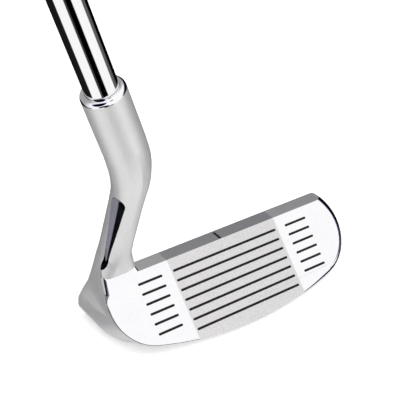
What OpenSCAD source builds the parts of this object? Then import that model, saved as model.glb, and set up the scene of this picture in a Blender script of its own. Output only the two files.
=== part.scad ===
// Chipping club with a blade putter's swan-neck head, standing as it is held at address.
// Axes: +X runs from heel to toe, +Y away from the target side of the face, +Z up.
// Origin: on the ground, under the middle of the face and in the plane of the shaft.

/* [Face] */
// Loft of the face, from the vertical
loft = 45; // [40:1:50]
// Half of the face's width, from its middle to the heel or toe edge
face_half_w = 45.8; // [44:0.2:49]
// Height of the face, measured up its slope
face_h = 28.4; // [26:0.2:30]
// Radius of the lower corners of the face
corner_r = 15; // [12:0.5:17]
// Radius of the long curve along the leading edge
edge_curve_r = 122; // [110:1:160]
// Distance from the shaft's plane forward to the leading edge
lead_y = -11.4; // [-13:0.1:-10]
// Height of the leading edge above the ground
lead_z = 1.5; // [1:0.1:2.5]

/* [Score lines] */
// Number of long score lines in the middle
long_count = 7; // [5:1:7]
// Number of short score lines at the heel, and at the toe
short_count = 6; // [4:1:6]
// Length of a long score line
long_len = 41.3; // [34:0.1:44]
// Length of a short score line
short_len = 9; // [6:0.5:10]
// Gap between a long score line and the short ones beside it
line_gap = 4; // [3:0.1:5]
// Spacing of the score lines up the face
line_pitch = 3.26; // [2.8:0.02:3.4]
// Width of a score line
line_w = 0.8; // [0.5:0.05:0.9]
// Depth of a score line
line_depth = 0.5; // [0.3:0.05:0.6]
// Distance from the leading edge up to the lowest score line
line_start = 4.95; // [4:0.05:6]

/* [Body] */
// Thickness of the topline, front to back
topline_t = 5.1; // [4:0.1:6]
// How far behind the shaft's plane the sole reaches
sole_back_y = 16.5; // [14:0.5:19]
// Downward slope of the heel and toe sides as they run back
side_draft = 30; // [25:1:35]
// Radius of the sole's end at the heel, seen from the front
heel_round = 9; // [8:0.5:12]
// Radius of the sole's end at the toe, seen from the front
toe_round = 12; // [8:0.5:13]
// Radius of the face's edge
edge_r = 0.3; // [0.1:0.1:0.5]
// How much larger the radius of the toe's polished edge is
toe_edge_r = 3.2; // [1:0.1:3.6]
// How far the toe's side stands out past the face's half width
toe_reach = 1.4; // [0:0.1:2]
// Thickness of the metal between the face and the cavity
face_wall = 5; // [4:0.5:7]
// Width of the cavity in the back
cavity_w = 62; // [40:1:66]
// Height of the cavity's lower and upper edge above the ground
cavity_z = [6.5, 17.2];
// Width of the alignment mark
mark_w = 1; // [0.5:0.05:1.4]
// Length of the alignment mark
mark_len = 3.9; // [2:0.1:4.5]
// Depth of the alignment mark
mark_depth = 0.4; // [0.2:0.05:0.6]

/* [Neck and hosel] */
// Lie of the shaft, from the ground
lie = 70; // [68:1:74]
// Where the shaft's axis meets the ground, from the middle of the face
axis_x = -15.8; // [-20:0.2:-12]
// Distance along the axis from the ground to the hosel's mouth
mouth_a = 99.2; // [95:0.2:106]
// Outer radius of the hosel
hosel_r = 6.4; // [6.2:0.1:7]
// Radius of the neck below its bend
neck_r = 5; // [4.8:0.1:5.6]
// Height above the topline where the face stops under the neck
neck_step = 1.5; // [1:0.1:2]
// Middle of the neck where it stands on the heel
neck_foot = [-37, 16.2, 21];
// Distance along the axis from the mouth down to the neck's bend
bend_a = 29.7; // [28:0.1:33]

/* [Shaft] */
// Length of the club, along the shaft's axis from the ground to the butt
club_len = 889; // [838:1:914]
// Radius of the shaft's tip, the standard 0.370 inch parallel tip
tip_r = 4.7; // [4.6:0.05:4.8]
// Radius of the shaft's butt
butt_r = 7.4; // [7.2:0.1:7.8]
// Wall of the steel tube
shaft_wall = 0.5; // [0.45:0.05:0.8]
// Depth of the shaft's tip in the hosel
tip_depth = 27; // [22:1:28]
// Clearance round the tip, which the adhesive fills
bond_gap = 0.1; // [0.05:0.05:0.2]
// Number of steps in the shaft
step_count = 12; // [8:1:14]
// Spacing of the steps
step_pitch = 30; // [25:1:30]
// Distance along the axis from the ground to the first step
first_step_a = 250; // [220:5:255]
// Length of the weight inside the tip
weight_len = 18; // [12:1:25]

/* [Grip] */
// Length of the grip with its cap
grip_len = 267; // [255:1:275]
// Thickness of the tape under the grip
tape_t = 0.2; // [0.1:0.05:0.3]
// Radius of the grip at its mouth
grip_mouth_r = 9; // [8.8:0.1:10]
// Radius of the grip at the cap
grip_cap_r = 13.2; // [12:0.1:14]
// Thickness of the cap's end wall
cap_t = 4; // [3:0.5:5]
// Radius of the vent hole in the cap
vent_r = 1.9; // [1.5:0.1:2.5]

/* [Hidden] */
$fn = 64;

// The paint's share of a groove's depth
paint_fill = 0.7;
topline_z = lead_z + face_h * cos(loft);
topline_y = lead_y + face_h * sin(loft);
tip_a = mouth_a - tip_depth;
// How far the neck's bend reaches on each side of its middle
bend_reach = 9.6;
// Small edges: the hosel's mouth, the grip's cap
mouth_round = 1.4;
cap_round = 3;
flange_t = 1.2;
// Length of the slope at each step of the shaft
step_slope = 1.5;
// The shaft stops under the grip's cap.
butt_a = club_len - cap_t;
grip_a = club_len - grip_len;
// The tape stops short of both ends of the grip.
tape_inset = 4;

// --- outlines -----------------------------------------------------------------------

// Points along an arc of centre c and radius r, from angle a0 to angle a1.
function arc(c, r, a0, a1, steps = 12) =
    [for (i = [0:steps]) let (a = a0 + (a1 - a0) * i / steps) c + r * [cos(a), sin(a)]];

function unit(v) = v / norm(v);

// The corner at p, between a and b, rounded to the radius r.
function round_corner(a, p, b, r, steps = 6) =
    r == 0 ? [p] :
    let (u = unit(a - p), w = unit(b - p), half = acos(u * w) / 2,
         c = p + unit(u + w) * r / sin(half),
         s = p + u * r / tan(half) - c, e = p + w * r / tan(half) - c,
         a0 = atan2(s.y, s.x), turn = atan2(s.x * e.y - s.y * e.x, s * e))
    arc(c, r, a0, a0 + turn, steps);

// A closed outline from corners given as [x, y, radius].
function rounded(corners) =
    let (n = len(corners), p = [for (c = corners) [c.x, c.y]])
    [for (i = [0:n - 1]) each round_corner(p[(i + n - 1) % n], p[i], p[(i + 1) % n], corners[i].z)];

// The face seen square on: x across, y up the slope from the leading edge.
function face_outline() =
    let (cx = face_half_w - corner_r,
         cy = edge_curve_r - sqrt(pow(edge_curve_r - corner_r, 2) - cx * cx),
         side = atan2(cx, edge_curve_r - cy))
    concat(
        arc([0, edge_curve_r], edge_curve_r, 270 - side, 270 + side, 24),
        arc([cx, cy], corner_r, 270 + side, 420, 16),
        [[cx, face_h + 12], [-face_half_w, face_h + 12]],
        arc([-cx, cy], corner_r, 180, 270 - side, 16));

// --- placing ------------------------------------------------------------------------

// Stands children with their +Z along the shaft, a millimetres up its axis from the ground.
module along_shaft(a = 0) {
    translate([axis_x, 0, 0]) rotate([0, lie - 90, 0]) translate([0, 0, a]) children();
}

// Lays children on the face: x across, y up the slope from the leading edge, z outward.
module on_face() {
    translate([0, lead_y, lead_z]) rotate([90 - loft, 0, 0]) children();
}

// Extrudes an outline drawn in Y and Z along X.
module across(half_w) {
    translate([-half_w, 0, 0]) rotate([90, 0, 90]) linear_extrude(2 * half_w) children();
}

// A straight tube standing on Z.
module tube(r_out, r_in, h) {
    difference() {
        cylinder(r = r_out, h = h);
        translate([0, 0, -1]) cylinder(r = r_in, h = h + 2);
    }
}

// --- head ---------------------------------------------------------------------------

// A solid through rings of equally many points, each turning anticlockwise seen from the next.
module loft(rings) {
    n = len(rings);
    m = len(rings[0]);
    walls = [for (i = [0:n - 2]) for (k = [0:m - 1]) let (j = (k + 1) % m)
        each [[i * m + k, (i + 1) * m + k, i * m + j], [i * m + j, (i + 1) * m + k, (i + 1) * m + j]]];
    polyhedron([for (r = rings) each r],
               concat([[for (k = [0:m - 1]) k]], walls, [[for (k = [m - 1:-1:0]) (n - 1) * m + k]]));
}

function smooth(t) = let (c = min(1, max(0, t))) c * c * (3 - 2 * c);

// How much of the toe's rounded edge is present at a place x across the face.
function toe_share(x) = smooth((x - 14) / 24);

// The face's outline at an angle round its edge: 0 at the face, 90 where the side begins.
function edge_ring(outline, angle) =
    let (n = len(outline), up = [0, sin(loft), cos(loft)], back = [0, cos(side_draft), -sin(side_draft)])
    [for (k = [n - 1:-1:0])
        let (p = outline[k], t = unit(outline[(k + 1) % n] - outline[(k + n - 1) % n]),
             r = edge_r + toe_edge_r * toe_share(p.x),
             in = r * (1 - sin(angle)) - toe_reach * toe_share(p.x),
             q = p + in * [-t.y, t.x])
        [q.x, lead_y, lead_z] + q.y * up + r * (1 - cos(angle)) * back];

// Everything behind the face's outline, sloping down as it runs back.
module behind_outline() {
    outline = face_outline();
    back = [0, cos(side_draft), -sin(side_draft)];
    rings = [for (angle = [0:15:90]) edge_ring(outline, angle)];
    loft(concat(rings, [[for (p = rings[6]) p + 60 * back]]));
}

// Seen from the front: the sole's round ends.
module front_view() {
    translate([0, 40, 0]) rotate([90, 0, 0]) linear_extrude(80)
        polygon(rounded([[-face_half_w - 0.2, 0, heel_round],
                         [face_half_w + toe_reach + 0.2, 0, toe_round],
                         [face_half_w + toe_reach + 0.2, 60, 0], [-face_half_w - 0.2, 60, 0]]));
}

// Seen from above: the back of the sole, rounded at the toe.
module plan_view() {
    translate([0, 0, -5]) linear_extrude(topline_z + 10)
        polygon(rounded([[-36, -30, 0], [50, -30, 0], [face_half_w + toe_reach + 1, 10, 12],
                         [36, sole_back_y + 0.5, 12], [-36, sole_back_y + 0.5, 0]]));
}

// The blade before its face and ends are cut.
module blade_bar() {
    trailing = [sole_back_y, 2];
    back_top = [topline_y + topline_t, topline_z];
    front_top = [-30, topline_z];
    section = concat([[-30, -1], [8, -1], [8, 0]],
                     round_corner([8, 0], trailing, back_top, 2.5),
                     round_corner(trailing, back_top, front_top, 0.8), [front_top]);
    intersection() {
        across(face_half_w + toe_reach + 2) polygon(section);
        plan_view();
    }
}

// The pocket in the back, as deep as the face's wall allows.
module cavity() {
    wall_y = lead_y + face_wall / cos(loft);
    behind_wall = [[wall_y + (30 - lead_z) * tan(loft), 30], [wall_y - lead_z * tan(loft), 0],
                   [60, 0], [60, 30]];
    intersection() {
        across(cavity_w / 2 + 1) polygon(behind_wall);
        translate([0, 40, 0]) rotate([90, 0, 0]) linear_extrude(60)
            polygon(rounded([[-cavity_w / 2, cavity_z[0], 3.5], [cavity_w / 2, cavity_z[0], 3.5],
                             [cavity_w / 2, cavity_z[1], 3.5], [-cavity_w / 2, cavity_z[1], 3.5]]));
    }
}

// Points along a soft bend at p, from d before it to d after it.
function bend_points(a, p, b, d, steps) =
    let (s = p + unit(a - p) * d, e = p + unit(b - p) * d)
    [for (i = [0:steps]) let (t = i / steps) (1 - t) * (1 - t) * s + 2 * t * (1 - t) * p + t * t * e];

function on_axis(a) = [axis_x - a * cos(lie), 0, a * sin(lie)];

// The neck's centre line, from inside the hosel down to the sole.
function neck_path() =
    let (bend = on_axis(mouth_a - bend_a),
         upper = bend_points(on_axis(mouth_a), bend, neck_foot, bend_reach, 10),
         lower = bend_points(bend, neck_foot, neck_foot - [0, 0, 14], 9, 6))
    concat([on_axis(mouth_a - bend_a + 12)], upper,
           [for (t = [0.2:0.2:0.8]) (1 - t) * upper[10] + t * lower[0]], lower,
           [for (z = [9:-3:-3]) [neck_foot.x, neck_foot.y, z]]);

// The neck narrows gently over the bend.
function neck_radius(z) = neck_r + (hosel_r - 0.02 - neck_r) * smooth((z - 52) / 20);

// Between the tables of corners at two heights.
function between(table, z, i = 0) =
    z >= table[i][0] || i == len(table) - 1 ? table[i][1] :
    z > table[i + 1][0] ?
        let (t = smooth((table[i][0] - z) / (table[i][0] - table[i + 1][0])))
        (1 - t) * table[i][1] + t * table[i + 1][1] :
    between(table, z, i + 1);

// The neck's section at height z, as corners [x, y, radius] about its centre line: front heel,
// front toe, back toe, back heel. It is round above, and opens below into the heel of the sole.
function neck_section(z) =
    let (r = neck_radius(z), k = r * 0.995)
    between([[31, [[-r, -r, k], [r, -r, k], [r, r, k], [-r, r, k]]],
             [23, [[-6.9, -6.3, 2.2], [5.6, -6.3, 3], [5.4, 5.2, 4.8], [-4.95, 4.9, 4.8]]],
             [18, [[-9.4, -15, 1], [8, -15, 1], [7, 5.5, 4.8], [-5.6, 5.5, 4.8]]],
             [8, [[-10.5, -28, 1], [12, -28, 1], [12, 5.8, 4.8], [-9.2, 7.4, 4]]]], z);

// The neck, opening into the heel, before its face and end are cut.
module neck_and_heel() {
    path = neck_path();
    n = len(path);
    rings = [for (i = [0:n - 1])
        let (along = unit(path[min(i + 1, n - 1)] - path[max(i - 1, 0)]),
             u = unit(cross(along, [0, 1, 0])), v = cross(u, along),
             outline = rounded(neck_section(path[i].z)))
        [for (k = [len(outline) - 1:-1:0]) path[i] + outline[k].x * u + outline[k].y * v]];
    loft(rings);
}

// Blade, heel and neck, with the face, the sole and the rounded ends cut together.
module casting() {
    intersection() {
        union() {
            difference() {
                blade_bar();
                cavity();
            }
            neck_and_heel();
        }
        union() {
            intersection() {
                behind_outline();
                front_view();
            }
            translate([-60, -20, topline_z + neck_step]) cube([80, 60, 100]);
        }
    }
}

// The straight hosel, rounded over at its mouth.
module hosel() {
    h = bend_a - bend_reach;
    along_shaft(mouth_a - h) rotate_extrude()
        polygon(concat([[0, 0], [hosel_r, 0]], arc([hosel_r - mouth_round, h - mouth_round],
                                                  mouth_round, 0, 90, 8), [[0, h]]));
}

// Score lines count rows up the face, as slots between two depths.
module lines(x, length, first, last, top, bottom) {
    for (row = [first:last])
        on_face() translate([x, line_start + row * line_pitch, -bottom])
            linear_extrude(bottom - top) {
                square([length - line_w, line_w], center = true);
                for (side = [-1, 1])
                    translate([side * (length - line_w) / 2, 0]) circle(d = line_w, $fn = 24);
            }
}

module long_lines(top, bottom) {
    lines(0, long_len, 0, long_count - 1, top, bottom);
}

// The short lines stand beside the upper long ones; side is -1 at the heel, 1 at the toe.
module short_lines(side, top, bottom) {
    lines(side * (long_len / 2 + line_gap + short_len / 2), short_len,
          long_count - short_count, long_count - 1, top, bottom);
}

module mark_slot(top, bottom) {
    translate([-mark_w / 2, topline_y + 0.2, topline_z - bottom])
        cube([mark_w, mark_len, bottom - top]);
}

module head() {
    color("silver") difference() {
        union() {
            casting();
            hosel();
        }
        along_shaft(tip_a) cylinder(r = tip_r + bond_gap, h = tip_depth + 5);
        long_lines(-1, line_depth);
        short_lines(-1, -1, line_depth);
        short_lines(1, -1, line_depth);
        mark_slot(-1, mark_depth);
    }
}

module long_line_paint() { color("black") long_lines(line_depth * (1 - paint_fill), line_depth); }
module heel_line_paint() { color("black") short_lines(-1, line_depth * (1 - paint_fill), line_depth); }
module toe_line_paint() { color("black") short_lines(1, line_depth * (1 - paint_fill), line_depth); }
module mark_paint() { color("black") mark_slot(mark_depth * (1 - paint_fill), mark_depth); }

// --- shaft --------------------------------------------------------------------------

module adhesive_bond() {
    color("dimgray") along_shaft(tip_a) tube(tip_r + bond_gap, tip_r, tip_depth - 0.5);
}

// A plug with a flange that closes the tip.
module tip_weight() {
    color("goldenrod") along_shaft(tip_a) {
        cylinder(r = tip_r - 0.05, h = flange_t);
        translate([0, 0, flange_t]) cylinder(r = tip_r - shaft_wall, h = weight_len);
    }
}

// Radius of the shaft above step number i; step 0 is the plain tip.
function shaft_r(i) = tip_r + (butt_r - tip_r) * i / step_count;

module shaft() {
    start = tip_a + flange_t;
    step_a = [for (i = [1:step_count]) first_step_a + (i - 1) * step_pitch - start];
    h = butt_a - start;
    outer = concat([[tip_r, 0]],
        [for (i = [1:step_count]) each [[shaft_r(i - 1), step_a[i - 1]],
                                        [shaft_r(i), step_a[i - 1] + step_slope]]],
        [[butt_r, h]]);
    inner = [for (i = [len(outer) - 1:-1:0]) outer[i] - [shaft_wall, 0]];
    color("gainsboro") along_shaft(start) rotate_extrude() polygon(concat(outer, inner));
}

// --- grip ---------------------------------------------------------------------------

module grip_tape() {
    color("khaki") along_shaft(grip_a + tape_inset)
        tube(butt_r + tape_t, butt_r, butt_a - grip_a - 2 * tape_inset);
}

// Outer radius of the grip at height z above its mouth.
function grip_r(z) = grip_mouth_r + (grip_cap_r - grip_mouth_r) * pow(z / grip_len, 1.6);

module grip_sleeve() {
    h = grip_len - cap_t;
    lip = 1.2;
    outer = concat([[grip_mouth_r - lip * 0.6, 0]],
                   [for (i = [0:12]) let (z = lip + (h - lip) * i / 12) [grip_r(z), z]]);
    color("dimgray") along_shaft(grip_a) rotate_extrude()
        polygon(concat([[butt_r, 0]], outer, [[butt_r, h], [butt_r, h - tape_inset],
                       [butt_r + tape_t, h - tape_inset], [butt_r + tape_t, tape_inset],
                       [butt_r, tape_inset]]));
}

module grip_cap() {
    r = grip_r(grip_len - cap_t);
    color("dimgray") along_shaft(butt_a) difference() {
        rotate_extrude() polygon(concat([[0, 0], [r, 0]],
                                        arc([r - cap_round, cap_t - cap_round], cap_round, 0, 90, 8),
                                        [[0, cap_t]]));
        translate([0, 0, -1]) cylinder(r = vent_r, h = cap_t + 2);
    }
}

head();
long_line_paint();
heel_line_paint();
toe_line_paint();
mark_paint();
adhesive_bond();
tip_weight();
shaft();
grip_tape();
grip_sleeve();
grip_cap();
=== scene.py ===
import math

import bmesh
import bpy
from mathutils import Matrix, Vector


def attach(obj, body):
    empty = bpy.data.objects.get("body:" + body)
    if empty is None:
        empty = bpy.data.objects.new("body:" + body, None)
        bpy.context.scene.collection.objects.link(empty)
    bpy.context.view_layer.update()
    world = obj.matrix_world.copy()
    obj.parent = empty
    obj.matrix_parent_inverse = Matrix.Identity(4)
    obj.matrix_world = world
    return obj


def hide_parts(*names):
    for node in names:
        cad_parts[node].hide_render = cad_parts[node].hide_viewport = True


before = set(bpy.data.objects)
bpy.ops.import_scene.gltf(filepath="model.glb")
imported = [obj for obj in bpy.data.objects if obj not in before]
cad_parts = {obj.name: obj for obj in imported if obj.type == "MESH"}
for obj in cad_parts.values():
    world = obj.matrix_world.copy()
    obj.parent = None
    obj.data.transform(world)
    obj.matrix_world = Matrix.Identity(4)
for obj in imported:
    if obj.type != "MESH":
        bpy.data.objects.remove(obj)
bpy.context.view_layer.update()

MM = 0.001

# Where the eye stands: its direction round the club, its height and its slight roll.
VIEW_AZIMUTH = -38.07
VIEW_ELEVATION = 33.4
VIEW_ROLL = 2.84
VIEW_LENS = 99.42
# The heel end of the top score line, and where the eye stands from it.
VIEW_ANCHOR = Vector((-20.65, 5.9, 18.8)) * MM
EYE_RIGHT, EYE_UP, EYE_BACK = 9.14 * MM, 21.3 * MM, 346.85 * MM

# The club's sizes, the same as the solid model's.
LOFT = 45
FACE_OFFSET = 12.9 * MM
HEEL_ZONE_X = -21.2 * MM
TOE_ZONE_X = 21.5 * MM
TOPLINE_Z = 21.58 * MM
LIE = 70
AXIS_X = -15.8 * MM
MOUTH_A = 99.2 * MM
BEND_A = MOUTH_A - 29.7 * MM
NECK_R = 5.0 * MM
NECK_FOOT = Vector((-37, 16.2, 21)) * MM
TIP_R, BUTT_R = 4.7 * MM, 7.4 * MM
SHAFT_WALL = 0.5 * MM
TIP_DEPTH, FLANGE_T = 27 * MM, 1.2 * MM
SHAFT_START = MOUTH_A - (TIP_DEPTH - FLANGE_T)
CAP_T = 4 * MM
CLUB_LEN = 889 * MM
BUTT_A = CLUB_LEN - CAP_T
STEP_COUNT, STEP_PITCH, FIRST_STEP_A, STEP_SLOPE = 12, 30 * MM, 250 * MM, 1.5 * MM
GRIP_LEN = 267 * MM
GRIP_A = CLUB_LEN - GRIP_LEN
GRIP_MOUTH_R, GRIP_CAP_R = 9 * MM, 13.2 * MM
TAPE_T, TAPE_INSET = 0.2 * MM, 4 * MM
VENT_R = 1.9 * MM

FACE_NORMAL = Vector((0, -math.sin(math.radians(LOFT)), math.cos(math.radians(LOFT))))
UPRIGHT_LEAN = math.radians(90 - LIE)
AXIS = Vector((-math.cos(math.radians(LIE)), 0, math.sin(math.radians(LIE))))
# Stands a piece that is turned on +Z along the shaft, from where its axis meets the ground.
ALONG_SHAFT = Matrix.Translation((AXIS_X, 0, 0)) @ Matrix.Rotation(-UPRIGHT_LEAN, 4, "Y")


def place_camera():
    """Sets the eye by its direction, its roll and its place from a point on the face."""
    camera = bpy.data.objects.new("camera", bpy.data.cameras.new("camera"))
    bpy.context.scene.collection.objects.link(camera)
    camera.data.lens = VIEW_LENS
    camera.data.sensor_width = 36
    camera.data.clip_start = 0.01
    az, el, roll = (math.radians(a) for a in (VIEW_AZIMUTH, VIEW_ELEVATION, VIEW_ROLL))
    back = Vector((math.sin(az) * math.cos(el), -math.cos(az) * math.cos(el), math.sin(el)))
    right = Vector((math.cos(az), math.sin(az), 0))
    up = back.cross(right)
    right_rolled = right * math.cos(roll) + up * math.sin(roll)
    up_rolled = up * math.cos(roll) - right * math.sin(roll)
    eye = VIEW_ANCHOR + right_rolled * EYE_RIGHT + up_rolled * EYE_UP + back * EYE_BACK
    matrix = Matrix((right_rolled, up_rolled, back)).transposed().to_4x4()
    matrix.translation = eye
    camera.matrix_world = matrix
    bpy.context.scene.camera = camera


# --- materials ----------------------------------------------------------------------


def feed(tree, socket, value):
    """Links a value that is another node's output, and sets any other."""
    if isinstance(value, bpy.types.NodeSocket):
        tree.links.new(value, socket)
    else:
        socket.default_value = value


def put(tree, kind, values=None, **settings):
    """Adds a shader node with settings, and values for its sockets."""
    made = tree.nodes.new("ShaderNode" + kind)
    for key, value in settings.items():
        setattr(made, key, value)
    for key, value in (values or {}).items():
        feed(tree, made.inputs[key], value)
    return made


def new_group(name, inputs, outputs):
    """Starts a node group with named inputs (name, kind, value) and outputs (name, kind)."""
    tree = bpy.data.node_groups.new(name, "ShaderNodeTree")
    for label, kind, value in inputs:
        socket = tree.interface.new_socket(label, in_out="INPUT", socket_type="NodeSocket" + kind)
        socket.default_value = value
    for label, kind in outputs:
        tree.interface.new_socket(label, in_out="OUTPUT", socket_type="NodeSocket" + kind)
    return tree, tree.nodes.new("NodeGroupInput").outputs, tree.nodes.new("NodeGroupOutput").inputs


def make_brush_grain():
    """Fine lines left by a belt or a mill: long one way, close together the other way."""
    tree, given, out = new_group(
        "brush_grain",
        [("Vector", "Vector", (0, 0, 0)), ("Turn", "Vector", (0, 0, 0)),
         ("Lines", "Vector", (3000, 3000, 3000)), ("Dark", "Float", 0.8)],
        [("Height", "Float"), ("Shade", "Float")],
    )
    turned = put(tree, "Mapping", {"Vector": given["Vector"], "Rotation": given["Turn"]})
    scaled = put(tree, "VectorMath", {0: turned.outputs[0], 1: given["Lines"]}, operation="MULTIPLY")
    noise = put(tree, "TexNoise", {"Vector": scaled.outputs[0], "Scale": 1, "Detail": 3,
                                   "Roughness": 0.6})
    shade = put(tree, "MapRange", {"Value": noise.outputs[0], "From Min": 0.3, "From Max": 0.7,
                                   "To Min": given["Dark"], "To Max": 1.0})
    tree.links.new(noise.outputs[0], out["Height"])
    tree.links.new(shade.outputs[0], out["Shade"])
    return tree


def make_handling():
    """Broad smudges and sparse fine specks from use."""
    tree, given, out = new_group(
        "handling",
        [("Vector", "Vector", (0, 0, 0)), ("Smudge Scale", "Float", 60.0),
         ("Speck Scale", "Float", 1500.0), ("Speck Share", "Float", 0.7)],
        [("Smudge", "Float"), ("Speck", "Float")],
    )
    broad = put(tree, "TexNoise", {"Vector": given["Vector"], "Scale": given["Smudge Scale"],
                                   "Detail": 4, "Roughness": 0.55})
    fine = put(tree, "TexNoise", {"Vector": given["Vector"], "Scale": given["Speck Scale"],
                                  "Detail": 2})
    over = put(tree, "Math", {0: given["Speck Share"], 1: 0.06}, operation="ADD")
    speck = put(tree, "MapRange", {"Value": fine.outputs[0], "From Min": given["Speck Share"],
                                   "From Max": over.outputs[0]})
    tree.links.new(broad.outputs[0], out["Smudge"])
    tree.links.new(speck.outputs[0], out["Speck"])
    return tree


BRUSH_GRAIN = make_brush_grain()
HANDLING = make_handling()


class Finish:
    """One material, with its shader and object coordinates to hand."""

    def __init__(self, name, colour, metallic=0.0, roughness=0.5, **constants):
        self.material = bpy.data.materials.new(name)
        self.material.use_nodes = True
        self.tree = self.material.node_tree
        self.shader = self.tree.nodes["Principled BSDF"]
        self.place = put(self.tree, "TexCoord").outputs["Object"]
        self.shader.inputs["Base Color"].default_value = (*colour, 1)
        self.shader.inputs["Metallic"].default_value = metallic
        self.shader.inputs["Roughness"].default_value = roughness
        for key, value in constants.items():
            self.shader.inputs[key.replace("_", " ")].default_value = value

    def put(self, kind, values=None, **settings):
        return put(self.tree, kind, values, **settings)

    def group(self, tree, values):
        made = self.put("Group", node_tree=tree)
        for key, value in {"Vector": self.place, **values}.items():
            feed(self.tree, made.inputs[key], value)
        return made.outputs

    def between(self, mask, low, high):
        """A value that goes from low to high with a mask."""
        return self.put("MapRange", {"Value": mask, "To Min": low, "To Max": high}).outputs[0]

    def shade(self, colour, mask):
        """A colour darkened by a mask."""
        return self.put("VectorMath", {0: colour, "Scale": mask}, operation="SCALE").outputs[0]

    def mix(self, mask, low, high):
        """A colour that goes from low to high with a mask."""
        made = self.put("Mix", {0: mask}, data_type="RGBA")
        for slot, value in ((6, low), (7, high)):
            feed(self.tree, made.inputs[slot],
                 value if isinstance(value, bpy.types.NodeSocket) else (*value, 1))
        return made.outputs[2]

    def bump(self, height, distance, strength=1.0, under=None):
        values = {"Height": height, "Distance": distance, "Strength": strength}
        if under is not None:
            values["Normal"] = under
        return self.put("Bump", values).outputs[0]

    def set(self, key, socket):
        self.tree.links.new(socket, self.shader.inputs[key])

    def step(self, axis, edge, soft):
        """0 below an edge on one axis of the piece, 1 above it."""
        split = self.put("SeparateXYZ", {0: self.place})
        return self.put("MapRange", {"Value": split.outputs[axis], "From Min": edge - soft,
                                     "From Max": edge + soft},
                        interpolation_type="SMOOTHSTEP").outputs[0]


def mirror_steel():
    """Buffed steel on the heel and toe of the face, the toe's edge and the hosel's mouth."""
    finish = Finish("mirror_steel", (0.93, 0.93, 0.94), 1, 0.06)
    wear = finish.group(HANDLING, {"Smudge Scale": 90.0, "Speck Scale": 2500.0, "Speck Share": 0.74})
    buff = finish.group(BRUSH_GRAIN, {"Turn": (math.radians(LOFT), 0.3, 0.5),
                                      "Lines": (900, 260, 900), "Dark": 0.97})
    tone = finish.mix(wear["Smudge"], (0.95, 0.95, 0.96), (0.90, 0.90, 0.92))
    finish.set("Base Color", finish.shade(tone, buff["Shade"]))
    finish.set("Roughness", finish.between(wear["Smudge"], 0.03, 0.10))
    finish.set("Normal", finish.bump(buff["Height"], 0.004 * MM, 0.5))
    return finish.material


def painted_dark_steel():
    """Polished steel with a painted dark reflection in the neck's channel, and painted shade along
    the heel's edge.
    """
    finish = Finish("painted_dark_steel", (0.22, 0.22, 0.27), 1, 0.1)
    wear = finish.group(HANDLING, {"Smudge Scale": 120.0, "Speck Scale": 2500.0, "Speck Share": 0.74})
    buff = finish.group(BRUSH_GRAIN, {"Lines": (2600, 2600, 200), "Dark": 0.9})
    # Painted dark reflection: a dark, cold-tinted colour stands in for the dark surroundings seen in
    # the polish.
    tone = finish.mix(wear["Smudge"], (0.26, 0.26, 0.32), (0.17, 0.175, 0.21))
    finish.set("Base Color", finish.shade(tone, buff["Shade"]))
    finish.set("Roughness", finish.between(wear["Smudge"], 0.06, 0.16))
    finish.set("Normal", finish.bump(buff["Height"], 0.003 * MM, 0.5))
    return finish.material


def milled_steel():
    """The dull middle of the face, with close mill lines."""
    finish = Finish("milled_steel", (0.8, 0.8, 0.8), 1, 0.42)
    mill = finish.group(BRUSH_GRAIN, {"Turn": (math.radians(LOFT), 0, math.radians(24)),
                                      "Lines": (2400, 420, 2400), "Dark": 0.78})
    wear = finish.group(HANDLING, {"Smudge Scale": 45.0, "Speck Scale": 1800.0, "Speck Share": 0.66})
    tone = finish.mix(wear["Smudge"], (0.89, 0.865, 0.86), (0.83, 0.825, 0.83))
    finish.set("Base Color", finish.shade(tone, mill["Shade"]))
    finish.set("Roughness", finish.between(mill["Height"], 0.36, 0.5))
    finish.set("Normal", finish.bump(mill["Height"], 0.02 * MM))
    return finish.material


def topline_steel():
    """The brushed top edge, blasted darker between the two polished ends."""
    finish = Finish("topline_steel", (0.6, 0.6, 0.6), 1, 0.36)
    brush = finish.group(BRUSH_GRAIN, {"Lines": (250, 5200, 5200), "Dark": 0.86})
    wear = finish.group(HANDLING, {"Smudge Scale": 80.0})
    soft = 0.15 * MM
    past_heel = finish.step("X", HEEL_ZONE_X, soft)
    before_toe = finish.put("Math", {0: 1.0, 1: finish.step("X", TOE_ZONE_X, soft)},
                            operation="SUBTRACT").outputs[0]
    middle = finish.put("Math", {0: past_heel, 1: before_toe}, operation="MULTIPLY").outputs[0]
    tone = finish.mix(middle, (0.82, 0.82, 0.80), (0.58, 0.58, 0.59))
    finish.set("Base Color", finish.shade(tone, brush["Shade"]))
    finish.set("Roughness", finish.between(wear["Smudge"], 0.30, 0.42))
    finish.set("Normal", finish.bump(brush["Height"], 0.008 * MM))
    return finish.material


def satin_steel():
    """Belt-finished steel of the neck, the heel, the back and the sole."""
    finish = Finish("satin_steel", (0.78, 0.78, 0.77), 0.6, 0.42)
    brush = finish.group(BRUSH_GRAIN, {"Turn": (0, UPRIGHT_LEAN, 0),
                                       "Lines": (3200, 3200, 260), "Dark": 0.93})
    wear = finish.group(HANDLING, {"Smudge Scale": 55.0, "Speck Scale": 2200.0, "Speck Share": 0.7})
    tone = finish.mix(wear["Smudge"], (0.78, 0.775, 0.755), (0.70, 0.705, 0.71))
    worn = finish.mix(wear["Speck"], tone, (0.60, 0.60, 0.60))
    finish.set("Base Color", finish.shade(worn, brush["Shade"]))
    finish.set("Roughness", finish.between(wear["Smudge"], 0.36, 0.46))
    finish.set("Normal", finish.bump(brush["Height"], 0.006 * MM))
    return finish.material


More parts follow.
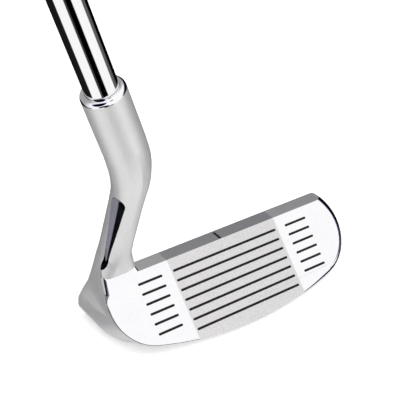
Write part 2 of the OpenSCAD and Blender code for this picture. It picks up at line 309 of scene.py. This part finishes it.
def line_enamel(name):
    """Black enamel wiped into a groove."""
    finish = Finish(name, (0.006, 0.006, 0.006), 0, 0.5, Specular_IOR_Level=0.2)
    wear = finish.group(HANDLING, {"Smudge Scale": 700.0, "Speck Scale": 6000.0, "Speck Share": 0.66})
    tone = finish.mix(wear["Smudge"], (0.003, 0.003, 0.003), (0.012, 0.011, 0.011))
    finish.set("Base Color", finish.mix(wear["Speck"], tone, (0.03, 0.03, 0.03)))
    finish.set("Roughness", finish.between(wear["Smudge"], 0.35, 0.6))
    finish.set("Normal", finish.bump(wear["Smudge"], 0.03 * MM))
    return finish.material


def shaft_chrome():
    """Bright chrome plate, with hairlines along the tube."""
    finish = Finish("shaft_chrome", (0.9, 0.9, 0.91), 1, 0.05)
    hair = finish.group(BRUSH_GRAIN, {"Turn": (0, UPRIGHT_LEAN, 0),
                                      "Lines": (4000, 4000, 60), "Dark": 0.97})
    wear = finish.group(HANDLING, {"Smudge Scale": 35.0, "Speck Scale": 1400.0, "Speck Share": 0.76})
    tone = finish.mix(wear["Speck"], (0.90, 0.90, 0.91), (0.6, 0.6, 0.6))
    finish.set("Base Color", finish.shade(tone, hair["Shade"]))
    finish.set("Roughness", finish.between(wear["Smudge"], 0.03, 0.08))
    finish.set("Normal", finish.bump(hair["Height"], 0.002 * MM, 0.4))
    return finish.material


def grip_rubber(name, colour, pebble):
    """Black grip rubber with a fine pebble and a dusty bloom."""
    finish = Finish(name, colour, 0, 0.7)
    wear = finish.group(HANDLING, {"Smudge Scale": 40.0, "Speck Scale": 1800.0, "Speck Share": 0.64})
    fine = finish.put("TexNoise", {"Vector": finish.place, "Scale": pebble, "Detail": 3})
    dusty = tuple(c * 2.2 + 0.01 for c in colour)
    tone = finish.mix(wear["Smudge"], colour, dusty)
    finish.set("Base Color", finish.mix(wear["Speck"], tone, (0.09, 0.088, 0.085)))
    finish.set("Roughness", finish.between(wear["Smudge"], 0.6, 0.85))
    finish.set("Normal", finish.bump(fine.outputs[0], 0.08 * MM))
    return finish.material


def set_epoxy():
    """Grey epoxy, cloudy with a few bubbles."""
    finish = Finish("set_epoxy", (0.2, 0.19, 0.16), 0, 0.35)
    wear = finish.group(HANDLING, {"Smudge Scale": 300.0, "Speck Scale": 900.0, "Speck Share": 0.6})
    tone = finish.mix(wear["Smudge"], (0.17, 0.165, 0.14), (0.27, 0.25, 0.21))
    finish.set("Base Color", finish.mix(wear["Speck"], tone, (0.4, 0.38, 0.33)))
    finish.set("Roughness", finish.between(wear["Smudge"], 0.25, 0.5))
    finish.set("Normal", finish.bump(wear["Speck"], 0.05 * MM))
    return finish.material


def turned_brass():
    """Brass as it leaves the lathe, with fine rings and a dull tarnish."""
    finish = Finish("turned_brass", (0.75, 0.53, 0.25), 1, 0.3)
    rings = finish.group(BRUSH_GRAIN, {"Turn": (0, UPRIGHT_LEAN, 0),
                                       "Lines": (120, 120, 5000), "Dark": 0.85})
    wear = finish.group(HANDLING, {"Smudge Scale": 160.0})
    tone = finish.mix(wear["Smudge"], (0.80, 0.58, 0.28), (0.60, 0.42, 0.20))
    finish.set("Base Color", finish.shade(tone, rings["Shade"]))
    finish.set("Roughness", finish.between(wear["Smudge"], 0.22, 0.42))
    finish.set("Normal", finish.bump(rings["Height"], 0.01 * MM))
    return finish.material


def tape_paper():
    """Cream crepe paper tape with cross wrinkles and fibres."""
    finish = Finish("tape_paper", (0.7, 0.6, 0.42), 0, 0.85)
    crepe = finish.group(BRUSH_GRAIN, {"Turn": (0, UPRIGHT_LEAN, 0),
                                       "Lines": (350, 350, 2200), "Dark": 0.82})
    wear = finish.group(HANDLING, {"Smudge Scale": 70.0})
    tone = finish.mix(wear["Smudge"], (0.74, 0.64, 0.45), (0.63, 0.53, 0.36))
    finish.set("Base Color", finish.shade(tone, crepe["Shade"]))
    finish.set("Roughness", finish.between(crepe["Height"], 0.75, 0.95))
    finish.set("Normal", finish.bump(crepe["Height"], 0.06 * MM))
    return finish.material


# --- pieces -------------------------------------------------------------------------


def finish_piece(bm, name, node, materials):
    """Makes an object of a mesh, riding on the club and standing for its solid."""
    mesh = bpy.data.meshes.new(name)
    bm.to_mesh(mesh)
    bm.free()
    piece = bpy.data.objects.new(name, mesh)
    bpy.context.scene.collection.objects.link(piece)
    for material in materials:
        mesh.materials.append(material)
    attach(piece, "root")
    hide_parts(node)
    return piece


def smooth_by_angle(bm, degrees):
    """Smooth faces, with a crease wherever two of them meet at more than an angle."""
    for face in bm.faces:
        face.smooth = True
    for edge in bm.edges:
        edge.smooth = len(edge.link_faces) == 2 and edge.calc_face_angle(0) < math.radians(degrees)


def even_normals(piece, weight=50):
    """Lets the large faces of a piece rule its shading, up to each crease."""
    even = piece.modifiers.new("even_normals", "WEIGHTED_NORMAL")
    even.weight = weight
    even.keep_sharp = True


def turned(profile, steps):
    """A closed outline of (radius, height) turned round the shaft's axis."""
    bm = bmesh.new()
    corners = [bm.verts.new((r, 0, z)) for r, z in profile]
    edges = [bm.edges.new((corners[i], corners[(i + 1) % len(corners)])) for i in range(len(corners))]
    bmesh.ops.spin(bm, geom=corners + edges, cent=(0, 0, 0), axis=(0, 0, 1),
                   angle=2 * math.pi, steps=steps, use_merge=True)
    bmesh.ops.remove_doubles(bm, verts=bm.verts, dist=0.0001 * MM)
    bmesh.ops.recalc_face_normals(bm, faces=bm.faces)
    return bm


def neck_centre(z):
    """The neck's middle between its bend and its foot, at a height."""
    bend = Vector((AXIS_X, 0, 0)) + AXIS * BEND_A
    share = (bend.z - z) / (bend.z - NECK_FOOT.z)
    return bend + (NECK_FOOT - bend) * share


# The channel down the neck: its ends, the way it faces at each, its radius and how deep it
# is cut at the top and at the foot, and the share of its length over which it narrows.
CHANNEL_TOP_Z, CHANNEL_FOOT_Z = 53 * MM, 23 * MM
CHANNEL_TOP_OUT, CHANNEL_FOOT_OUT = Vector((-0.91, -0.41, 0)), Vector((-0.86, -0.51, 0))
CHANNEL_TOP_R, CHANNEL_FOOT_R = 4.0, 1.0
CHANNEL_TOP_DEEP, CHANNEL_FOOT_DEEP = 1.15, 0.28
CHANNEL_NARROWS = 0.75
CHANNEL_STATIONS, CHANNEL_NOSE_RINGS, CHANNEL_ROUND = 16, 6, 40


def channel_cutter():
    """A tapered round bar lying along the neck, which leaves the polished channel."""
    bm = bmesh.new()
    rings = []

    def ring(centre, along, radius):
        turn = along.to_track_quat("Z", "Y").to_matrix().to_4x4()
        made = bmesh.ops.create_circle(bm, segments=CHANNEL_ROUND, radius=radius,
                                       matrix=Matrix.Translation(centre) @ turn)["verts"]
        rings.append(list({edge for vert in made for edge in vert.link_edges}))

    along = (neck_centre(CHANNEL_FOOT_Z) - neck_centre(CHANNEL_TOP_Z)).normalized()
    for i in range(CHANNEL_STATIONS + 1):
        t = i / CHANNEL_STATIONS
        z = CHANNEL_TOP_Z + (CHANNEL_FOOT_Z - CHANNEL_TOP_Z) * t
        outward = CHANNEL_TOP_OUT.lerp(CHANNEL_FOOT_OUT, t).normalized()
        narrow = min(1, t / CHANNEL_NARROWS)
        radius = (CHANNEL_TOP_R + (CHANNEL_FOOT_R - CHANNEL_TOP_R) * narrow) * MM
        depth = (CHANNEL_TOP_DEEP + (CHANNEL_FOOT_DEEP - CHANNEL_TOP_DEEP) * narrow) * MM
        centre = neck_centre(z) + outward * (NECK_R + radius - depth)
        if i == 0:
            for k in range(1, CHANNEL_NOSE_RINGS + 1):
                lean = math.radians(90 * k / (CHANNEL_NOSE_RINGS + 1))
                ring(centre - along * radius * math.cos(lean), along, radius * math.sin(lean))
        ring(centre, along, radius)
    for i in range(len(rings) - 1):
        bmesh.ops.bridge_loops(bm, edges=rings[i] + rings[i + 1])
    bmesh.ops.holes_fill(bm, edges=bm.edges, sides=0)
    bmesh.ops.recalc_face_normals(bm, faces=bm.faces)
    return bm


# The fifth zone takes the painted dark reflection and painted shade.
HEAD_SATIN, HEAD_MIRROR, HEAD_MILLED, HEAD_TOPLINE, HEAD_PAINTED_DARK = range(5)
# How far behind the face the toe's polished edge and the heel's painted-dark edge reach, how high
# the heel's goes, where the topline begins, and how far down the hosel its mouth is bright.
TOE_EDGE_DEEP, HEEL_EDGE_DEEP = 3.1 * MM, 0.45 * MM
HEEL_EDGE_TOP_Z = 24 * MM
TOPLINE_FRONT_Y = 7 * MM
BRIGHT_MOUTH = 1.9 * MM


def head_zone(face):
    """The finish of one small face of the head, from where it is and which way it looks."""
    if face.material_index == HEAD_PAINTED_DARK:
        return HEAD_PAINTED_DARK
    centre = face.calc_center_median()
    behind = (centre.y - centre.z + FACE_OFFSET) / math.sqrt(2)
    facing = face.normal.dot(FACE_NORMAL)
    if abs(behind) < 0.05 * MM and facing > 0.99:
        return HEAD_MILLED if HEEL_ZONE_X < centre.x < TOE_ZONE_X else HEAD_MIRROR
    on_top = face.normal.z > 0.98 and abs(centre.z - TOPLINE_Z) < 0.3 * MM
    if on_top and centre.y > TOPLINE_FRONT_Y:
        return HEAD_TOPLINE
    rolls_back = facing > 0.02
    if rolls_back and centre.x > TOE_ZONE_X and 0 < behind < TOE_EDGE_DEEP:
        return HEAD_MIRROR
    at_heel = centre.x < HEEL_ZONE_X and centre.z < HEEL_EDGE_TOP_Z
    # The heel's thin edge gets painted shade: the dark polished finish stands in for the shade along
    # it.
    if rolls_back and at_heel and 0 < behind < HEEL_EDGE_DEEP:
        return HEAD_PAINTED_DARK
    along = (centre - Vector((AXIS_X, 0, 0))).dot(AXIS)
    if along > MOUTH_A - BRIGHT_MOUTH:
        return HEAD_MIRROR
    return HEAD_SATIN


def with_channel(head, materials):
    """The head's mesh with the channel cut into its neck."""
    cutter_mesh = bpy.data.meshes.new("channel_cutter")
    cutter_bm = channel_cutter()
    # The channel's faces take the painted dark reflection.
    for face in cutter_bm.faces:
        face.material_index = HEAD_PAINTED_DARK
    cutter_bm.to_mesh(cutter_mesh)
    cutter_bm.free()
    for material in materials:
        cutter_mesh.materials.append(material)
    cutter = bpy.data.objects.new("channel_cutter", cutter_mesh)
    bpy.context.scene.collection.objects.link(cutter)
    cut = head.modifiers.new("channel", "BOOLEAN")
    cut.operation = "DIFFERENCE"
    cut.solver = "EXACT"
    cut.object = cutter
    shaped = bpy.data.meshes.new_from_object(
        head.evaluated_get(bpy.context.evaluated_depsgraph_get()))
    head.modifiers.clear()
    bpy.data.objects.remove(cutter)
    return shaped


def build_head(materials):
    """The casting, parted where its finishes meet, with the channel and a finish on each zone."""
    bm = bmesh.new()
    bm.from_mesh(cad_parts["head"].data)
    bmesh.ops.remove_doubles(bm, verts=bm.verts, dist=0.001 * MM)
    for face in bm.faces:
        face.material_index = HEAD_SATIN
    for x in (HEEL_ZONE_X, TOE_ZONE_X):
        bmesh.ops.bisect_plane(bm, geom=bm.verts[:] + bm.edges[:] + bm.faces[:],
                               plane_co=(x, 0, 0), plane_no=(1, 0, 0), dist=0.001 * MM)
    bmesh.ops.triangulate(bm, faces=bm.faces)
    head = finish_piece(bm, "forged_head", "head", materials)
    shaped = with_channel(head, materials)
    bm = bmesh.new()
    bm.from_mesh(shaped)
    bmesh.ops.remove_doubles(bm, verts=bm.verts, dist=0.002 * MM)
    bm.normal_update()
    for face in bm.faces:
        face.material_index = head_zone(face)
    smooth_by_angle(bm, 24)
    bm.to_mesh(shaped)
    bm.free()
    head.data = shaped
    # Normals carried over from the solid's mesh would override the even ones.
    stale = shaped.attributes.get("custom_normal")
    if stale:
        shaped.attributes.remove(stale)
    even_normals(head, 90)


def shaft_outline():
    """Half of the tube's section: the steps outside, and a bore that follows them."""
    outer = [(TIP_R, SHAFT_START)]
    for i in range(STEP_COUNT):
        a = FIRST_STEP_A + i * STEP_PITCH
        small = TIP_R + (BUTT_R - TIP_R) * i / STEP_COUNT
        large = TIP_R + (BUTT_R - TIP_R) * (i + 1) / STEP_COUNT
        rise = large - small
        outer += [(small, a), (small + rise * 0.15, a + STEP_SLOPE * 0.3),
                  (small + rise * 0.85, a + STEP_SLOPE * 0.7), (large, a + STEP_SLOPE)]
    outer.append((BUTT_R, BUTT_A))
    return outer + [(r - SHAFT_WALL, a) for r, a in reversed(outer)]


def build_shaft(material):
    bm = turned(shaft_outline(), 128)
    bm.transform(ALONG_SHAFT)
    smooth_by_angle(bm, 30)
    even_normals(finish_piece(bm, "stepped_shaft", "shaft", [material]))


def grip_radius(z):
    """The grip's outer radius at a height above its mouth."""
    return GRIP_MOUTH_R + (GRIP_CAP_R - GRIP_MOUTH_R) * (z / GRIP_LEN) ** 1.6


GRIP_ROUND = 40
TREAD_START, TREAD_END = 26 * MM, 240 * MM
TREAD_ROWS = 112
MOUTH_GROOVES, CAP_GROOVES = (6, 10, 14, 18), (246, 251, 256)


def grip_outline():
    """The sleeve's outer side, with moulded rings at both ends, then its bore over the tape."""
    height = GRIP_LEN - CAP_T
    lip = 1.2 * MM
    outer = [(BUTT_R, 0), (GRIP_MOUTH_R - lip * 0.6, 0), (grip_radius(lip) - lip * 0.15, lip * 0.5),
             (grip_radius(lip), lip)]

    def groove(z, deep=0.45 * MM, wide=0.9 * MM):
        r = grip_radius(z)
        return [(r, z - wide), (r - deep * 0.8, z - wide * 0.6), (r - deep, z),
                (r - deep * 0.8, z + wide * 0.6), (r, z + wide)]

    for z in MOUTH_GROOVES:
        outer += groove(z * MM)
    rows = [TREAD_START + (TREAD_END - TREAD_START) * i / TREAD_ROWS for i in range(TREAD_ROWS + 1)]
    outer += [(grip_radius(z), z) for z in rows]
    for z in CAP_GROOVES:
        outer += groove(z * MM)
    outer.append((grip_radius(height), height))
    bore = [(BUTT_R, height), (BUTT_R, height - TAPE_INSET),
            (BUTT_R + TAPE_T, height - TAPE_INSET), (BUTT_R + TAPE_T, TAPE_INSET),
            (BUTT_R, TAPE_INSET)]
    return [(r, GRIP_A + z) for r, z in outer + bore]


def build_grip(material):
    """The sleeve, with a tread of small sunk cells that alternate round it."""
    bm = turned(grip_outline(), GRIP_ROUND)
    bm.normal_update()
    cells = []
    pitch = (TREAD_END - TREAD_START) / TREAD_ROWS
    for face in bm.faces:
        centre = face.calc_center_median()
        z = centre.z - GRIP_A
        out = Vector((centre.x, centre.y, 0))
        if not TREAD_START < z < TREAD_END or face.normal.dot(out.normalized()) < 0.5:
            continue
        if out.length < GRIP_MOUTH_R * 0.9:
            continue
        row = int((z - TREAD_START) / pitch)
        column = int((math.atan2(centre.y, centre.x) / math.tau % 1) * GRIP_ROUND)
        if (row // 2 + column // 2) % 2 == 0:
            cells.append(face)
    bmesh.ops.inset_individual(bm, faces=cells, thickness=0.3 * MM, depth=-0.45 * MM)
    bm.transform(ALONG_SHAFT)
    smooth_by_angle(bm, 28)
    finish_piece(bm, "grip_sleeve_tread", "grip_sleeve", [material])


def build_cap(material):
    """The end cap: a rounded rim, a shallow ring in its face and the vent hole."""
    rim = grip_radius(GRIP_LEN - CAP_T)
    rounding = 3 * MM
    outline = [(VENT_R, 0), (rim, 0)]
    outline += [(rim - rounding + rounding * math.cos(math.radians(a)),
                 CAP_T - rounding + rounding * math.sin(math.radians(a))) for a in range(0, 91, 10)]
    sunk = 0.4 * MM
    outline += [(8.6 * MM, CAP_T), (8.3 * MM, CAP_T - sunk), (7.4 * MM, CAP_T - sunk),
                (7.1 * MM, CAP_T), (VENT_R + sunk, CAP_T), (VENT_R, CAP_T - sunk)]
    bm = turned([(r, BUTT_A + z) for r, z in outline], 96)
    bm.transform(ALONG_SHAFT)
    smooth_by_angle(bm, 28)
    even_normals(finish_piece(bm, "grip_end_cap", "grip_cap", [material]))


# --- studio -------------------------------------------------------------------------


def build_floor():
    """A pale floor that glows a little, and isn't seen in the polish."""
    bm = bmesh.new()
    bmesh.ops.create_grid(bm, x_segments=1, y_segments=1, size=3)
    mesh = bpy.data.meshes.new("floor")
    bm.to_mesh(mesh)
    bm.free()
    floor = bpy.data.objects.new("floor", mesh)
    bpy.context.scene.collection.objects.link(floor)
    finish = Finish("pale_floor", (0.93, 0.93, 0.93), 0, 0.9)
    finish.shader.inputs["Emission Color"].default_value = (1, 1, 1, 1)
    finish.shader.inputs["Emission Strength"].default_value = 0.3
    mesh.materials.append(finish.material)
    floor.visible_glossy = False


# Two directions square to the shaft: towards the eye, and to the eye's right.
SHAFT_FRONT = (-0.386, -0.912, -0.140)
SHAFT_RIGHT = (0.857, -0.411, 0.312)
# Brightness of the studio round the shaft, by angle from the eye: white sheets, dark gaps.
STUDIO_RING = ((-180, 0.01), (-79, 0.01), (-75, 1.05), (-18, 1.05), (-15, 0.05), (-6, 0.05),
               (-4, 0.0), (26, 0.0), (30, 1.05), (86, 1.05), (92, 0.12), (116, 0.10),
               (121, 0.0), (180, 0.0))
# The ring of sheets: the cosine to the shaft at its middle, then its half width and soft edge.
RING_TILT = -0.515
RING_HALF = 0.115
RING_SOFT = 0.03
# Dark cards: the way to each from the club, then the cosines where it is full and where it
# ends: the wall to the right, three on the left, and the camera's own stand.
DARK_CARDS = (((0.932, 0.301, -0.2), 0.76, 0.52),
              ((-0.52, -0.74, -0.42), 0.95, 0.90),
              ((-0.367, 0.75, -0.55), 0.95, 0.90),
              ((-0.853, -0.31, 0.4175), 0.93, 0.84),
              ((-0.19, -0.6, 0.775), 0.994, 0.986))


def build_world():
    """A white room with dark cards, and a ring of white and dark sheets round the shaft."""
    world = bpy.data.worlds.new("studio")
    bpy.context.scene.world = world
    world.use_nodes = True
    tree = world.node_tree
    background = tree.nodes["Background"]
    way = put(tree, "TexCoord").outputs["Generated"]

    def dot(vector):
        return put(tree, "VectorMath", {0: way, 1: vector}, operation="DOT_PRODUCT").outputs["Value"]

    def rise(value, low, high, start=0.0, end=1.0):
        return put(tree, "MapRange", {"Value": value, "From Min": low, "From Max": high,
                                      "To Min": start, "To Max": end},
                   interpolation_type="SMOOTHSTEP").outputs[0]

    def blend(share, low, high):
        made = put(tree, "Mix", {0: share}, data_type="FLOAT")
        for slot, value in ((2, low), (3, high)):
            feed(tree, made.inputs[slot], value)
        return made.outputs[0]

    angle = put(tree, "Math", {0: dot(SHAFT_RIGHT), 1: dot(SHAFT_FRONT)},
                operation="ARCTAN2").outputs[0]
    around = put(tree, "MapRange", {"Value": angle, "From Min": -math.pi, "From Max": math.pi})
    ramp = put(tree, "ValToRGB", {0: around.outputs[0]})
    stops = ramp.color_ramp.elements
    for index, (degrees, level) in enumerate(STUDIO_RING):
        place = (degrees + 180) / 360
        stop = stops[index] if index in (0, 1) else stops.new(place)
        stop.position = place
        stop.color = (level, level, level, 1)
    sheets = put(tree, "RGBToBW", {0: ramp.outputs[0]}).outputs[0]
    off_ring = put(tree, "Math", {0: put(tree, "Math", {0: dot(AXIS), 1: RING_TILT},
                                         operation="SUBTRACT").outputs[0]},
                   operation="ABSOLUTE").outputs[0]
    above = rise(dot((0, 1, 0)), 0.15, 0.7, 1.05, 0.38)
    below = rise(dot((0, 1, 0)), -0.2, 0.8, 1.0, 0.6)
    room = blend(rise(dot((0, 0, 1)), -0.30, -0.05), below, above)
    gap = 1.0
    for way_to, inner, outer in DARK_CARDS:
        open_part = rise(dot(way_to), outer, inner, 1.0, 0.0)
        gap = put(tree, "Math", {0: gap, 1: open_part}, operation="MULTIPLY").outputs[0]
    on_ring = rise(off_ring, RING_HALF, RING_HALF + RING_SOFT)
    gap = blend(on_ring, 1.0, gap)
    room = blend(on_ring, sheets, room)
    # The edge of a dark card fades through a cold grey.
    cold = put(tree, "Math", {0: gap, 1: 1.5}, operation="POWER").outputs[0]
    warm_part = put(tree, "Math", {0: room, 1: cold}, operation="MULTIPLY").outputs[0]
    blue_part = put(tree, "Math", {0: room, 1: gap}, operation="MULTIPLY").outputs[0]
    seen = put(tree, "LightPath").outputs["Is Camera Ray"]
    colour = put(tree, "CombineColor", {"Red": blend(seen, warm_part, 1.0),
                                        "Green": blend(seen, warm_part, 1.0),
                                        "Blue": blend(seen, blue_part, 1.0)})
    tree.links.new(colour.outputs[0], background.inputs["Color"])
    background.inputs["Strength"].default_value = 1.0


def build_lights():
    """A broad soft light overhead for the floor and the grip, unseen in the polish."""
    light = bpy.data.objects.new("soft_overhead", bpy.data.lights.new("soft_overhead", "SUN"))
    light.data.energy = 1.6
    light.data.angle = math.radians(60)
    light.rotation_euler = (math.radians(18), math.radians(-14), 0)
    light.visible_glossy = False
    bpy.context.scene.collection.objects.link(light)


place_camera()
build_floor()
build_world()
build_lights()

build_head([satin_steel(), mirror_steel(), milled_steel(), topline_steel(), painted_dark_steel()])
build_shaft(shaft_chrome())
build_grip(grip_rubber("grip_black_rubber", (0.012, 0.012, 0.013), 2600.0))
build_cap(grip_rubber("cap_black_rubber", (0.016, 0.016, 0.017), 1400.0))

enamel = line_enamel("line_enamel")
kept_nodes = {
    "long_line_paint": enamel,
    "heel_line_paint": enamel,
    "toe_line_paint": enamel,
    "mark_paint": line_enamel("mark_enamel"),
    "adhesive_bond": set_epoxy(),
    "tip_weight": turned_brass(),
    "grip_tape": tape_paper(),
}
for node_name, node_material in kept_nodes.items():
    node_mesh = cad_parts[node_name].data
    node_mesh.materials.clear()
    node_mesh.materials.append(node_material)

bpy.context.scene.view_settings.view_transform = "Standard"
